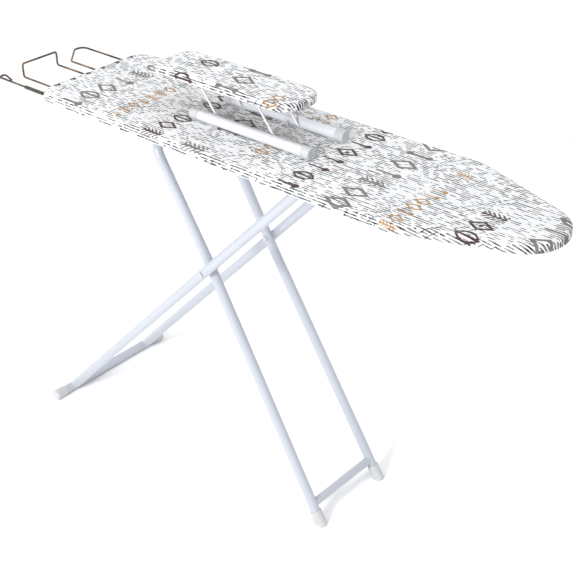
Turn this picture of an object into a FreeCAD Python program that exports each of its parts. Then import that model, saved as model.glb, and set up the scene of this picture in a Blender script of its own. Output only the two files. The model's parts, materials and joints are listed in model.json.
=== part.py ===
import FreeCAD, Part
import math
import os

# Folding ironing board with an iron rest and a small sleeve board on its own stand.
# Millimetres. +X runs towards the rounded nose, +Z is up, Y runs across the board.
# The origin is on the floor, midway along the overall length and width.

# ---- Board -----------------------------------------------------------------
board_length = 1235.0
board_width = 318.0
board_height = 850.0
tail_corner_radius = 45.0
shoulder_radius = 150.0
nose_radius = 88.0
taper_angle = 20.0
cover_thickness = 0.8
pad_thickness = 5.5
pan_sheet = 1.0
pan_depth = 11.0
hem_width = 24.0
elastic_radius = 1.5
vent_length = 44.0
vent_width = 12.0
vent_pitch_x = 74.0
vent_pitch_y = 48.0
vent_margin = 34.0
rail_inset = 38.0
rail_width = 22.0
rail_depth = 8.5
rail_margin = 72.0

# ---- Leg frames ------------------------------------------------------------
leg_radius = 11.0
leg_wall = 1.2
crossing_from_tail = 455.0
crossing_height = 535.0
inner_foot_run = 315.6
inner_half_foot = 103.3
inner_half_crossing = 90.5
inner_half_top = 95.0
bow_radius = 50.0
bow_turn = 42.0
pivot_bend_radius = 30.0
pivot_bend_land = 1.0
bow_headroom = 5.5
spreader_radius = 9.5
spreader_height = 42.0
outer_foot_run = 503.6
outer_half_foot = 124.6
crossing_gap = 2.8
outer_half_top = 106.5
foot_bar_half = 185.0
cap_wall = 2.0
inner_cap_length = 21.0
outer_cap_length = 32.0
cap_end_wall = 4.0
sole_flat = 1.0
leg_bend_radius = 500.0
rivet_radius = 4.0
rivet_head_radius = 7.0
rivet_head_height = 1.8
top_bar_radius = 5.0
top_bar_drop = 31.0
leg_tip = 12.0
bush_wall = 2.0
bush_flange = 2.5
bush_flange_reach = 2.5
folded_tilt = 5.5

# ---- Pivot brackets, height rack and release lever ---------------------------
bracket_sheet = 2.0
bracket_width = 16.0
bracket_half_spacing = 22.0
bracket_foot = 26.0
rack_half_spacing = 62.0
rack_sheet = 2.0
rack_flange = 18.0
rack_end = 16.0
rack_web = 8.0
notch_radius = 9.0
notch_depth = 2.5
notch_pitch = 36.0
lever_shaft_radius = 4.0
lever_setback = 60.0
lever_shaft_rise = 4.0
lever_shaft_reach = 142.0
pawl_thickness = 3.0
pawl_hub_wall = 5.0
pawl_tip = 5.0
lever_arm = 96.0
lever_arm_drop = 16.0
lever_wire_radius = 3.0
grip_radius = 7.0
grip_length = 56.0
spring_section = 2.8
spring_width = 18.0
small_rivet_radius = 2.2
small_head_radius = 4.2
small_head_height = 1.8

# ---- Iron rest and cord guide ------------------------------------------------
rest_reach = 182.0
wire_radius = 2.25
wire_tail = 74.0
stop_near = -88.0
stop_far = 11.0
stop_run = 133.0
stop_rise = 32.0
stop_bend = 5.5
loop_near = 46.0
loop_far = 128.0
loop_slant = 46.0
loop_near_bend = 12.0
loop_far_bend = 18.0
rest_rail_start = 40.0
rest_rail_width = 26.0
rest_rail_height = 13.2
rest_rail_side = 3.6
clamp_sheet = 2.0
guide_line = -125.0
guide_pivot_run = 14.0
guide_run = 176.0
guide_eye = 27.0
guide_bend = 5.5
guide_sleeve_wall = 1.95
guide_sleeve_length = 62.0
guide_sleeve_gap = 0.6
socket_width = 14.0
socket_plate = 5.0

# ---- Sleeve board and its stand ------------------------------------------------
sleeve_length = 387.0
sleeve_width = 117.0
sleeve_from_tail = 263.0
sleeve_centre = 6.0
sleeve_rise = 95.0
sleeve_tail_radius = 24.0
sleeve_nose_radius = 50.0
sleeve_pad_thickness = 7.4
sleeve_core_thickness = 7.0
sleeve_hem = 8.0
sleeve_elastic_radius = 1.2
stand_from_tail = 378.0
stand_length = 325.0
stand_half_spacing = 52.0
stand_radius = 11.0
stand_cap_wall = 1.8
stand_cap_length = 22.0
stand_clearance = 0.3
loop_wire_radius = 2.25
loop_half_width = 36.0
loop_rear_run = 55.0
loop_spacing = 158.0
loop_lean = 37.4
loop_bend = 8.0
loop_pin_depth = 9.0
cross_wire_run = 184.0
clip_sheet = 1.2
clip_width = 12.0
clip_foot = 10.0
clip_half_spacing = 16.0
screw_radius = 1.6
screw_head_radius = 3.2
screw_head_height = 1.8

# ---- Fits ------------------------------------------------------------------------
running_clearance = 0.08
side_clearance = 0.4

# ---- Levels and stations that follow from the sizes above ------------------------
pad_top = board_height - cover_thickness
pan_top = pad_top - pad_thickness
pan_under = pan_top - pan_sheet
rim_bottom = pan_top - pan_depth
cover_bottom = rim_bottom - cover_thickness
rail_half_spacing = board_width / 2 - rail_inset
nose_x = (board_length + rest_reach) / 2
tail_x = nose_x - board_length
crossing_x = tail_x + crossing_from_tail
cap_radius = leg_radius + cap_wall
foot_bar_z = cap_radius - sole_flat
outer_half_crossing = inner_half_crossing + 2 * leg_radius + crossing_gap
bush_radius = top_bar_radius + bush_wall
bush_flange_radius = bush_radius + bush_flange_reach
pawl_hub_radius = lever_shaft_radius + pawl_hub_wall
spring_radius = lever_shaft_radius + side_clearance + spring_section
pivot_z = pan_under - bow_headroom - leg_radius
bar_z = pan_under - top_bar_drop
inner_slope = inner_foot_run / crossing_height
outer_slope = outer_foot_run / (crossing_height - foot_bar_z)
wire_z = pan_under - rest_rail_height - wire_radius
guide_sleeve_radius = wire_radius + guide_sleeve_wall
socket_hub_radius = 2 * wire_radius + side_clearance
stand_cap_radius = stand_radius + stand_cap_wall
stand_z = board_height + stand_clearance + stand_cap_radius
sleeve_height = board_height + sleeve_rise
sleeve_x = tail_x + sleeve_from_tail
sleeve_pad_top = sleeve_height - cover_thickness
sleeve_core_top = sleeve_pad_top - sleeve_pad_thickness
sleeve_under = sleeve_core_top - sleeve_core_thickness
sleeve_cover_bottom = sleeve_under - cover_thickness
clip_axis_z = sleeve_under - loop_wire_radius - running_clearance - clip_sheet


def point(x, y, z):
    return FreeCAD.Vector(x, y, z)


along_x = point(1, 0, 0)
along_y = point(0, 1, 0)
up = point(0, 0, 1)


def inner_x(z):
    """Where the inner leg frame's plane is at a height."""
    return crossing_x - (z - crossing_height) * inner_slope


def outer_x(z):
    """Where the outer leg frame's plane is at a height."""
    return crossing_x + (z - crossing_height) * outer_slope


pivot_x = inner_x(pivot_z)
bar_x = outer_x(bar_z)
outer_lean_in = (outer_half_crossing - outer_half_top) / (bar_z + leg_tip - crossing_height)
outer_half_bar = outer_half_top + leg_tip * outer_lean_in
pivot_bar_half = bracket_half_spacing + bracket_width / 2 + side_clearance


# ---- Shape helpers ---------------------------------------------------------------
def box(low, high):
    size = high - low
    return Part.makeBox(size.x, size.y, size.z, low)


def rod(start, end, radius):
    run = end - start
    return Part.makeCylinder(radius, run.Length, start, run)


def fuse(shapes):
    joined = shapes[0]
    for shape in shapes[1:]:
        joined = joined.fuse(shape)
    return joined.removeSplitter()


def route(points, bends):
    """A path of straight runs with a tangent arc at each inner point."""
    edges = []
    start = points[0]
    for before, corner, after, bend in zip(points, points[1:], points[2:], bends):
        inward = (corner - before).normalize()
        outward = (after - corner).normalize()
        half_turn = inward.getAngle(outward) / 2
        reach = bend * math.tan(half_turn)
        arc_start = corner - inward * reach
        arc_end = corner + outward * reach
        towards_centre = (outward - inward).normalize()
        middle = corner + towards_centre * (bend / math.cos(half_turn) - bend)
        edges.append(Part.LineSegment(start, arc_start).toShape())
        edges.append(Part.Arc(arc_start, middle, arc_end).toShape())
        start = arc_end
    edges.append(Part.LineSegment(start, points[-1]).toShape())
    return Part.Wire(edges)


def bar_along(points, bends, radius):
    """A round bar that follows a route."""
    section = Part.Face(Part.Wire(Part.makeCircle(radius, points[0], points[1] - points[0])))
    return route(points, bends).makePipe(section)


def tube_along(points, bends, radius, wall):
    return bar_along(points, bends, radius).cut(bar_along(points, bends, radius - wall))


def rounded_outline(corners, z):
    """A closed outline of straight sides whose corners, (x, y, radius), are rounded."""
    edges = []
    ends = []
    for index, (x, y, radius) in enumerate(corners):
        corner = point(x, y, z)
        before = point(*corners[index - 1][:2], z)
        after = point(*corners[(index + 1) % len(corners)][:2], z)
        inward = (corner - before).normalize()
        outward = (after - corner).normalize()
        half_turn = inward.getAngle(outward) / 2
        reach = radius * math.tan(half_turn)
        towards_centre = (outward - inward).normalize()
        middle = corner + towards_centre * (radius / math.cos(half_turn) - radius)
        arc = (corner - inward * reach, middle, corner + outward * reach)
        edges.append(Part.Arc(*arc).toShape())
        ends.append(arc)
    sides = []
    for arc, following, edge in zip(ends, ends[1:] + ends[:1], edges):
        sides.append(edge)
        if arc[2].distanceToPoint(following[0]) > 0.001:
            sides.append(Part.LineSegment(arc[2], following[0]).toShape())
    return Part.Wire(sides)


def board_corners(inset):
    """Corners of the main board: square tail, parallel sides, tapered sides, round nose."""
    half = board_width / 2 - inset
    nose = nose_radius - inset
    slope = math.radians(taper_angle)
    apex = nose_x - inset - nose + nose / math.sin(slope)
    shoulder = apex - half / math.tan(slope)
    tail = tail_x + inset
    return [
        (tail, -half, tail_corner_radius - inset),
        (shoulder, -half, shoulder_radius - inset),
        (apex, 0, nose),
        (shoulder, half, shoulder_radius - inset),
        (tail, half, tail_corner_radius - inset),
    ]


def sleeve_corners(inset):
    """Corners of the sleeve board."""
    half = sleeve_width / 2 - inset
    rear = sleeve_x + inset
    front = sleeve_x + sleeve_length - inset
    rear_radius = sleeve_tail_radius - inset
    front_radius = sleeve_nose_radius - inset
    return [
        (rear, sleeve_centre - half, rear_radius),
        (front, sleeve_centre - half, front_radius),
        (front, sleeve_centre + half, front_radius),
        (rear, sleeve_centre + half, rear_radius),
    ]


def plate(corners, inset, low, high):
    """A flat plate of an outline, drawn in by an inset."""
    face = Part.Face(rounded_outline(corners(inset), low))
    return face.extrude(up * (high - low))


def fabric_cover(corners, low, high, hem):
    """A fabric skin: top, sides and the hem that is turned in underneath."""
    skin = plate(corners, 0, low, high)
    room = plate(corners, cover_thickness, low + cover_thickness, high - cover_thickness)
    mouth = plate(corners, hem, low - 1, low + cover_thickness + 1)
    return skin.cut(room).cut(mouth)


def elastic_loop(corners, inset, z, radius):
    """The elastic cord that runs round inside a hem."""
    path = rounded_outline(corners(inset), z)
    start = path.OrderedVertexes[0].Point
    heading = path.OrderedEdges[0].tangentAt(path.OrderedEdges[0].FirstParameter)
    section = Part.Face(Part.Wire(Part.makeCircle(radius, start, heading)))
    return path.makePipe(section)


def saddle(x, y, z, bore, sheet, width, foot, top):
    """A strap bracket: a ring round a shaft along Y, and two feet under a flat surface."""
    outer = bore + sheet
    start = y - width / 2
    ring = Part.makeCylinder(outer, width, point(x, start, z), along_y)
    neck = box(point(x - outer, start, z), point(x + outer, start + width, top))
    feet = box(point(x - outer - foot, start, top - sheet), point(x + outer + foot, start + width, top))
    shaft_hole = Part.makeCylinder(bore, width, point(x, start, z), along_y)
    return fuse([ring, neck, feet]).cut(shaft_hole)


def headed_pin(x, y, head_z, tip_z, radius, head_radius, head_height):
    """A rivet or screw along Z with its domed head underneath."""
    shank = rod(point(x, y, head_z), point(x, y, tip_z), radius)
    head = Part.makeCylinder(head_radius, head_height, point(x, y, head_z - head_height))
    head = head.makeFillet(head_height * 0.6, [head.Edges[2]])
    return shank.fuse(head).removeSplitter()


def pin_holes(places, radius):
    """Drills through everything above and below the places of a set of pins."""
    depth = board_height
    return Part.makeCompound([
        Part.makeCylinder(radius, 2 * depth, point(x, y, 0)) for x, y in places
    ])


# ---- Leg linkage -------------------------------------------------------------------
def fold_angle():
    """How far the inner frame turns about its pivot from standing to folded."""
    standing = math.degrees(math.atan2(crossing_height, inner_foot_run))
    return standing - folded_tilt


def linkage():
    """Travel of the outer frame's top bar while the two frames fold in proportion."""
    inner_length = math.hypot(pivot_x - crossing_x, pivot_z - crossing_height)
    outer_length = math.hypot(bar_x - crossing_x, bar_z - crossing_height)
    inner_rest = math.atan2(crossing_height, inner_foot_run)
    outer_rest = math.atan2(bar_z - crossing_height, bar_x - crossing_x)
    folded_crossing_z = pivot_z - inner_length * math.sin(math.radians(folded_tilt))
    outer_folded = math.asin((bar_z - folded_crossing_z) / outer_length)
    inner_turn = math.radians(fold_angle())
    share = (outer_rest - outer_folded) / inner_turn
    steps = 90
    path = []
    for step in range(steps + 1):
        turn = inner_turn * step / steps
        cross_x = pivot_x + inner_length * math.cos(inner_rest - turn)
        cross_z = pivot_z - inner_length * math.sin(inner_rest - turn)
        x = cross_x + outer_length * math.cos(outer_rest - share * turn)
        z = cross_z + outer_length * math.sin(outer_rest - share * turn)
        path.append((x, z))
    return path, -(1 + share)


bar_path, crossing_ratio = linkage()
bar_travel_x = bar_path[-1][0]
slot_top = max(z for x, z in bar_path) + bush_radius + side_clearance
slot_bottom = min(z for x, z in bar_path) - bush_radius - side_clearance
shaft_x = bar_x - lever_setback
shaft_z = bar_z + lever_shaft_rise
rack_start = shaft_x - rack_end
rack_stop = bar_travel_x + bush_radius + rack_end
rack_bottom = slot_bottom - rack_web


# ---- Table top ---------------------------------------------------------------------
def bracket_places():
    """Rivets of the pivot brackets."""
    reach = leg_radius + bracket_sheet + bracket_foot / 2
    return [(pivot_x + end * reach, side * bracket_half_spacing) for side in (-1, 1) for end in (-1, 1)]


def rack_places():
    """Rivets of the rack plates, along each flange."""
    flange_line = rack_half_spacing + rack_sheet / 2 + rack_flange / 2
    count = 4
    pitch = (rack_stop - rack_start - 2 * rack_end) / (count - 1)
    return [
        (rack_start + rack_end + index * pitch, side * flange_line)
        for side in (-1, 1) for index in range(count)
    ]


def vents():
    """Round-ended steam slots in rows, kept inside the pan's own outline."""
    straight = vent_length - vent_width
    region = Part.Face(rounded_outline(board_corners(vent_margin), 0))
    slots = []
    row_count = 2
    for row in range(-row_count, row_count + 1):
        shift = vent_pitch_x / 2 if row % 2 else 0
        x = tail_x + rest_rail_start + rest_rail_width + vent_length + shift
        while x < nose_x:
            y = row * vent_pitch_y
            ends = [point(x - straight / 2, y, 0), point(x + straight / 2, y, 0)]
            clear = all(region.isInside(end, 0.01, True) for end in ends)
            hit = any(
                abs(px - x) < vent_length / 2 + small_head_radius
                and abs(py - y) < vent_width / 2 + small_head_radius
                for px, py in bracket_places() + rack_places()
            )
            if clear and not hit:
                slots.append(vent(ends, straight))
            x += vent_pitch_x
    return Part.makeCompound(slots)


def vent(ends, straight):
    low = pan_under - 1
    depth = pan_sheet + 2
    cutter = box(
        point(ends[0].x, ends[0].y - vent_width / 2, low),
        point(ends[0].x + straight, ends[0].y + vent_width / 2, low + depth))
    for end in ends:
        cutter = cutter.fuse(Part.makeCylinder(vent_width / 2, depth, point(end.x, end.y, low)))
    return cutter.removeSplitter()


def mesh_pan():
    """Sheet-steel top with a turned-down rim."""
    skin = plate(board_corners, cover_thickness, rim_bottom, pan_top)
    room = plate(board_corners, cover_thickness + pan_sheet, rim_bottom - 1, pan_under)
    holes = pin_holes(bracket_places() + rack_places(), small_rivet_radius)
    return skin.cut(room).cut(vents()).cut(holes)


def stiffener(side):
    """A channel rail welded under the pan, open side up."""
    y = side * rail_half_spacing
    start = tail_x + rail_margin
    slope = math.radians(taper_angle)
    shoulder = board_corners(0)[1][0] - shoulder_radius * math.tan(slope / 2)
    low = pan_under - rail_depth
    outer = box(point(start, y - rail_width / 2, low), point(shoulder, y + rail_width / 2, pan_under))
    inner_half = rail_width / 2 - pan_sheet
    inner = box(point(start, y - inner_half, low + pan_sheet), point(shoulder, y + inner_half, pan_under))
    return outer.cut(inner)


def pivot_bracket(side):
    bore = leg_radius + running_clearance
    y = side * bracket_half_spacing
    bracket = saddle(pivot_x, y, pivot_z, bore, bracket_sheet, bracket_width, bracket_foot, pan_under)
    return bracket.cut(pin_holes(bracket_places(), small_rivet_radius))


def small_rivets(places, sheet):
    head_z = pan_under - sheet
    return Part.makeCompound([
        headed_pin(x, y, head_z, pan_top, small_rivet_radius, small_head_radius, small_head_height)
        for x, y in places
    ])


def rack(side):
    """Rack plate: a long slot for the top bar with height notches along its upper edge."""
    half = rack_sheet / 2
    y = side * rack_half_spacing
    web = box(point(rack_start, y - half, rack_bottom), point(rack_stop, y + half, pan_under))
    flange_edge = y + side * (half + rack_flange)
    low_y = min(y, flange_edge)
    high_y = max(y, flange_edge)
    flange = box(point(rack_start, low_y, pan_under - rack_sheet), point(rack_stop, high_y, pan_under))
    start = y - rack_sheet
    width = 2 * rack_sheet
    slot_start = bar_x - bush_radius - side_clearance
    slot_end = bar_travel_x + bush_radius + side_clearance
    slot = box(point(slot_start, start, slot_bottom), point(slot_end, start + width, slot_top))
    cutters = [slot]
    x = bar_x
    while x < bar_travel_x:
        centre = point(x, start, slot_top + notch_depth - notch_radius)
        cutters.append(Part.makeCylinder(notch_radius, width, centre, along_y))
        x += notch_pitch
    shaft_hole = Part.makeCylinder(
        lever_shaft_radius + running_clearance, width, point(shaft_x, start, shaft_z), along_y)
    cutters.append(shaft_hole)
    plain = fuse([web, flange])
    return plain.cut(Part.makeCompound(cutters)).cut(pin_holes(rack_places(), small_rivet_radius))


# ---- Inner leg frame -----------------------------------------------------------------
def inner_leg_points(side):
    """Foot, crossing, shoulder, and the slant across to the end of the pivot bar."""
    end_z = cap_end_wall + leg_radius * inner_slope
    turn = math.radians(bow_turn)
    bar_turn = math.pi / 2 - turn
    bar_corner = pivot_bar_half + pivot_bend_land + pivot_bend_radius * math.tan(bar_turn / 2)
    drop = (inner_half_top - bar_corner) / math.tan(turn)
    shoulder_z = pivot_z - drop / math.hypot(1, inner_slope)
    return [
        point(inner_x(end_z), side * inner_half_foot, end_z),
        point(crossing_x, side * inner_half_crossing, crossing_height),
        point(inner_x(shoulder_z), side * inner_half_top, shoulder_z),
        point(pivot_x, side * bar_corner, pivot_z),
        point(pivot_x, side * pivot_bar_half, pivot_z),
    ]


def outer_leg_points(side):
    top = outer_x(bar_z) + leg_tip * outer_slope
    return [
        point(outer_x(foot_bar_z), side * outer_half_foot, foot_bar_z),
        point(crossing_x, side * outer_half_crossing, crossing_height),
        point(top, side * outer_half_top, bar_z + leg_tip),
    ]


def crossing_hole(side, radius):
    start = point(crossing_x, side * (inner_half_crossing - 2 * leg_radius), crossing_height)
    end = point(crossing_x, side * (outer_half_crossing + 2 * leg_radius), crossing_height)
    return rod(start, end, radius)


def inner_leg(side):
    """Inner leg: straight down to the foot, bent inwards twice at the top to meet the pivot bar."""
    bends = [leg_bend_radius, bow_radius, pivot_bend_radius]
    leg = tube_along(inner_leg_points(side), bends, leg_radius, leg_wall)
    return leg.cut(crossing_hole(side, rivet_radius))


def inner_pivot_bar():
    start = point(pivot_x, -pivot_bar_half, pivot_z)
    end = point(pivot_x, pivot_bar_half, pivot_z)
    return rod(start, end, leg_radius).cut(rod(start, end, leg_radius - leg_wall))


def inner_spreader():
    """Cross tube between the inner legs, its ends shaped to the legs."""
    x = inner_x(spreader_height)
    start = point(x, -inner_half_foot, spreader_height)
    end = point(x, inner_half_foot, spreader_height)
    tube = rod(start, end, spreader_radius).cut(rod(start, end, spreader_radius - leg_wall))
    for side in (-1, 1):
        foot, crossing = inner_leg_points(side)[:2]
        tube = tube.cut(rod(foot, crossing, leg_radius))
    return max(tube.Solids, key=lambda solid: solid.Volume)


def below_floor():
    reach = board_length
    return box(point(-reach, -reach, -reach), point(reach, reach, 0))


def inner_foot_cap(side):
    """Plastic cap on the leg's end, with a sole cut level with the floor."""
    foot, crossing = inner_leg_points(side)[:2]
    heading = (crossing - foot).normalize()
    sole = foot - heading * (cap_end_wall + cap_radius)
    top = foot + heading * inner_cap_length
    cap = rod(sole, top, cap_radius)
    rim = max(cap.Edges, key=lambda edge: edge.BoundBox.ZMax)
    cap = cap.makeFillet(1.0, [rim])
    return cap.cut(rod(foot, crossing, leg_radius)).cut(below_floor())


def crossing_rivet(side):
    """Headed pin through both legs at the crossing, along Y."""
    inside = side * (inner_half_crossing - leg_radius)
    outside = side * (outer_half_crossing + leg_radius + side_clearance)
    shank = rod(point(crossing_x, inside, crossing_height), point(crossing_x, outside, crossing_height),
                rivet_radius)
    heads = []
    for y, direction in ((inside, -side), (outside, side)):
        head = Part.makeCylinder(rivet_head_radius, rivet_head_height,
                                 point(crossing_x, y, crossing_height), along_y * direction)
        heads.append(head.makeFillet(rivet_head_height * 0.6, [head.Edges[2]]))
    rivet = fuse([shank] + heads)
    return rivet.cut(inner_leg(side))


def crossing_spacer(side):
    """Washer between the two legs, hollowed to sit on the inner leg."""
    inside = side * inner_half_crossing
    outside = side * (outer_half_crossing - leg_radius - side_clearance)
    start = point(crossing_x, inside, crossing_height)
    end = point(crossing_x, outside, crossing_height)
    foot, crossing, corner = inner_leg_points(side)[:3]
    heading = (crossing - foot).normalize() + (corner - crossing).normalize()
    seat = rod(crossing - heading * leg_radius, crossing + heading * leg_radius, leg_radius + side_clearance)
    return rod(start, end, leg_radius - leg_wall).cut(rod(start, end, rivet_radius)).cut(seat)


# ---- Outer leg frame -----------------------------------------------------------------
def outer_leg(side):
    """Outer leg: stands on the foot bar and carries the top bar through its upper end."""
    points = outer_leg_points(side)
    leg = tube_along(points, [leg_bend_radius], leg_radius, leg_wall)
    foot_bar = Part.makeCylinder(leg_radius, 2 * foot_bar_half,
                                 point(outer_x(foot_bar_z), -foot_bar_half, foot_bar_z), along_y)
    top_bar_hole = rod(point(bar_x, 0, bar_z), point(bar_x, side * foot_bar_half, bar_z), top_bar_radius)
    rivet_hole = crossing_hole(side, rivet_radius + running_clearance)
    leg = leg.cut(foot_bar).cut(top_bar_hole).cut(rivet_hole)
    return max(leg.Solids, key=lambda solid: solid.Volume)


def outer_foot_bar():
    half = foot_bar_half - cap_end_wall
    start = point(outer_x(foot_bar_z), -half, foot_bar_z)
    end = point(outer_x(foot_bar_z), half, foot_bar_z)
    return rod(start, end, leg_radius).cut(rod(start, end, leg_radius - leg_wall))


def outer_foot_cap(side):
    x = outer_x(foot_bar_z)
    inside = point(x, side * (foot_bar_half - outer_cap_length), foot_bar_z)
    outside = point(x, side * foot_bar_half, foot_bar_z)
    bore_end = point(x, side * (foot_bar_half - cap_end_wall), foot_bar_z)
    cap = rod(inside, outside, cap_radius)
    cap = cap.makeFillet(2.0, [cap.Edges[0], cap.Edges[2]])
    return cap.cut(rod(inside, bore_end, leg_radius)).cut(below_floor())


def outer_top_bar():
    """Solid bar across the outer legs' tops, with riveted ends."""
    half = outer_half_bar + leg_radius + rivet_head_radius * outer_lean_in + running_clearance
    bar = rod(point(bar_x, -half, bar_z), point(bar_x, half, bar_z), top_bar_radius)
    ends = []
    for side in (-1, 1):
        end = Part.makeCylinder(rivet_head_radius, rivet_head_height,
                                point(bar_x, side * half, bar_z), along_y * side)
        ends.append(end.makeFillet(rivet_head_height * 0.6, [end.Edges[2]]))
    return fuse([bar] + ends)


def bar_bush(side):
    """Flanged plastic roller where the top bar runs in a rack plate."""
    half = rack_sheet / 2 + side_clearance + bush_flange
    y = side * rack_half_spacing
    body = rod(point(bar_x, y - half, bar_z), point(bar_x, y + half, bar_z), bush_radius)
    flanges = [
        Part.makeCylinder(bush_flange_radius, bush_flange, point(bar_x, y + end * half, bar_z), along_y * -end)
        for end in (-1, 1)
    ]
    bore = rod(point(bar_x, y - half, bar_z), point(bar_x, y + half, bar_z), top_bar_radius)
    return fuse([body] + flanges).cut(bore)


# ---- Release lever ---------------------------------------------------------------------
def lever_shaft():
    inside = rack_half_spacing + rack_sheet + side_clearance
    return rod(point(shaft_x, -inside, shaft_z), point(shaft_x, lever_shaft_reach, shaft_z), lever_shaft_radius)


def pawl(side):
    """Flat pawl on the shaft that props the top bar up from below."""
    y = side * (rack_half_spacing - rack_sheet / 2 - bush_flange - 2 * side_clearance - pawl_thickness)
    start = y - pawl_thickness / 2
    prop_z = bar_z - top_bar_radius - side_clearance
    tip_x = bar_x + pawl_tip / 2
    profile = Part.makePolygon([
        point(shaft_x, start, shaft_z + pawl_hub_radius * 0.7),
        point(bar_x - 2 * pawl_tip, start, prop_z),
        point(tip_x, start, prop_z),
        point(tip_x, start, prop_z - pawl_tip),
        point(shaft_x, start, shaft_z - pawl_hub_radius * 0.9),
        point(shaft_x, start, shaft_z + pawl_hub_radius * 0.7),
    ])
    blade = Part.Face(profile).extrude(along_y * pawl_thickness)
    hub = Part.makeCylinder(pawl_hub_radius, pawl_thickness, point(shaft_x, start, shaft_z), along_y)
    bore = Part.makeCylinder(lever_shaft_radius, pawl_thickness, point(shaft_x, start, shaft_z), along_y)
    return fuse([blade, hub]).cut(bore)


def lever_route():
    y = lever_shaft_reach - lever_wire_radius
    return [
        point(shaft_x - lever_shaft_radius, y, shaft_z),
        point(shaft_x - lever_arm / 4, y, shaft_z),
        point(shaft_x - lever_arm / 2, y, shaft_z - lever_arm_drop),
        point(shaft_x - lever_arm - grip_length / 4, y, shaft_z - lever_arm_drop),
    ]


def lever_handle():
    """Bent wire arm from the shaft's outer end to the grip."""
    arm = bar_along(lever_route(), [lever_arm_drop / 2, lever_arm_drop / 2], lever_wire_radius)
    shaft = rod(point(shaft_x, 0, shaft_z), point(shaft_x, lever_shaft_reach, shaft_z), lever_shaft_radius)
    return arm.cut(shaft)


def lever_grip():
    end = lever_route()[-1]
    tip = end - along_x * cap_end_wall
    grip = rod(tip, tip + along_x * grip_length, grip_radius)
    grip = grip.makeFillet(3.0, [grip.Edges[0], grip.Edges[2]])
    return grip.cut(rod(end, end + along_x * grip_length, lever_wire_radius))


def lever_spring():
    """Torsion spring on the shaft, with one leg hooked on a pawl and one on the rack side."""
    outer_y = rack_half_spacing - rack_sheet - 2 * bush_flange - 2 * pawl_thickness
    start = point(shaft_x, outer_y - spring_width, shaft_z)
    end = point(shaft_x, outer_y, shaft_z)
    coil = rod(start, end, spring_radius).cut(rod(start, end, lever_shaft_radius + side_clearance))
    wire = (spring_radius - lever_shaft_radius) / 3
    line = shaft_z - spring_radius + wire
    legs = [
        rod(point(shaft_x, y, line), point(shaft_x + reach, y, line), wire)
        for y, reach in ((start.y + wire, -3 * spring_radius), (end.y - wire, 3 * spring_radius))
    ]
    return fuse([coil] + legs)


# ---- Iron rest and cord guide --------------------------------------------------------
def rail_ends():
    """Ends of the channel and its clamp, past the outermost wires."""
    return stop_near - wire_radius - rest_rail_side, loop_far + wire_radius + side_clearance


def rest_rail():
    """Cross channel under the pan that the rest wires are clamped to."""
    x = tail_x + rest_rail_start
    low_y, high_y = rail_ends()
    low_z = pan_under - rest_rail_height
    outer = box(point(x, low_y, low_z), point(x + rest_rail_width, high_y, pan_under))
    inner = box(point(x + clamp_sheet, low_y, low_z + clamp_sheet),
                point(x + rest_rail_width - clamp_sheet, high_y, pan_under))
    return outer.cut(inner).cut(pin_holes(clamp_places(), screw_radius))


def clamp_places():
    """Screws between neighbouring wires."""
    x = tail_x + rest_rail_start + rest_rail_width / 2
    third = (stop_far - stop_near) / 3
    middles = [stop_near + third, stop_far - third, (stop_far + loop_near) / 2, (loop_near + loop_far) / 2]
    return [(x, y) for y in middles]


def rest_clamp():
    """Strip that presses the wires against the channel."""
    x = tail_x + rest_rail_start
    low_y, high_y = rail_ends()
    top = wire_z - wire_radius
    strip = box(point(x, low_y, top - clamp_sheet), point(x + rest_rail_width, high_y, top))
    return strip.cut(pin_holes(clamp_places(), screw_radius))


def rest_screws():
    head_z = wire_z - wire_radius - clamp_sheet
    tip_z = wire_z + wire_radius + 2 * clamp_sheet
    return Part.makeCompound([
        headed_pin(x, y, head_z, tip_z, screw_radius, screw_head_radius, screw_head_height)
        for x, y in clamp_places()
    ])


def rest_stop_wire():
    """Wire that rises into an upright stop for the iron's heel."""
    root = tail_x + wire_tail
    end = tail_x - stop_run
    points = [
        point(root, stop_near, wire_z),
        point(end, stop_near, wire_z),
        point(end, stop_near, wire_z + stop_rise),
        point(end, stop_far, wire_z + stop_rise),
        point(end, stop_far, wire_z),
        point(root, stop_far, wire_z),
    ]
    return bar_along(points, [stop_bend] * 4, wire_radius)


def rest_loop_wire():
    """Flat loop that carries the iron's sole, its end slanting out to a rounded far corner."""
    root = tail_x + wire_tail
    slant = math.radians(loop_slant)
    far_end = tail_x - rest_reach + wire_radius + loop_far_bend - loop_far_bend / math.tan(slant / 2)
    near_end = far_end + (loop_far - loop_near) / math.tan(slant)
    points = [
        point(root, loop_near, wire_z),
        point(near_end, loop_near, wire_z),
        point(far_end, loop_far, wire_z),
        point(root, loop_far, wire_z),
    ]
    return bar_along(points, [loop_near_bend, loop_far_bend], wire_radius)


guide_x = tail_x - guide_pivot_run
socket_centre = guide_line + wire_radius + side_clearance + socket_width / 2


def guide_socket():
    """Plastic block under the tail corner with the bore that the cord guide turns in."""
    low_y = socket_centre - socket_width / 2
    high_y = socket_centre + socket_width / 2
    plate_top = rim_bottom - elastic_radius - side_clearance
    riser_x = tail_x + rest_rail_start
    base = box(point(guide_x, low_y, plate_top - socket_plate), point(riser_x, high_y, plate_top))
    riser = box(point(riser_x, low_y, plate_top - socket_plate),
                point(riser_x + rest_rail_width, high_y, pan_under))
    hub = Part.makeCylinder(socket_hub_radius, socket_width, point(guide_x, low_y, wire_z), along_y)
    bore = Part.makeCylinder(wire_radius + running_clearance, socket_width,
                             point(guide_x, low_y, wire_z), along_y)
    return fuse([base, riser, hub]).cut(bore)


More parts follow.
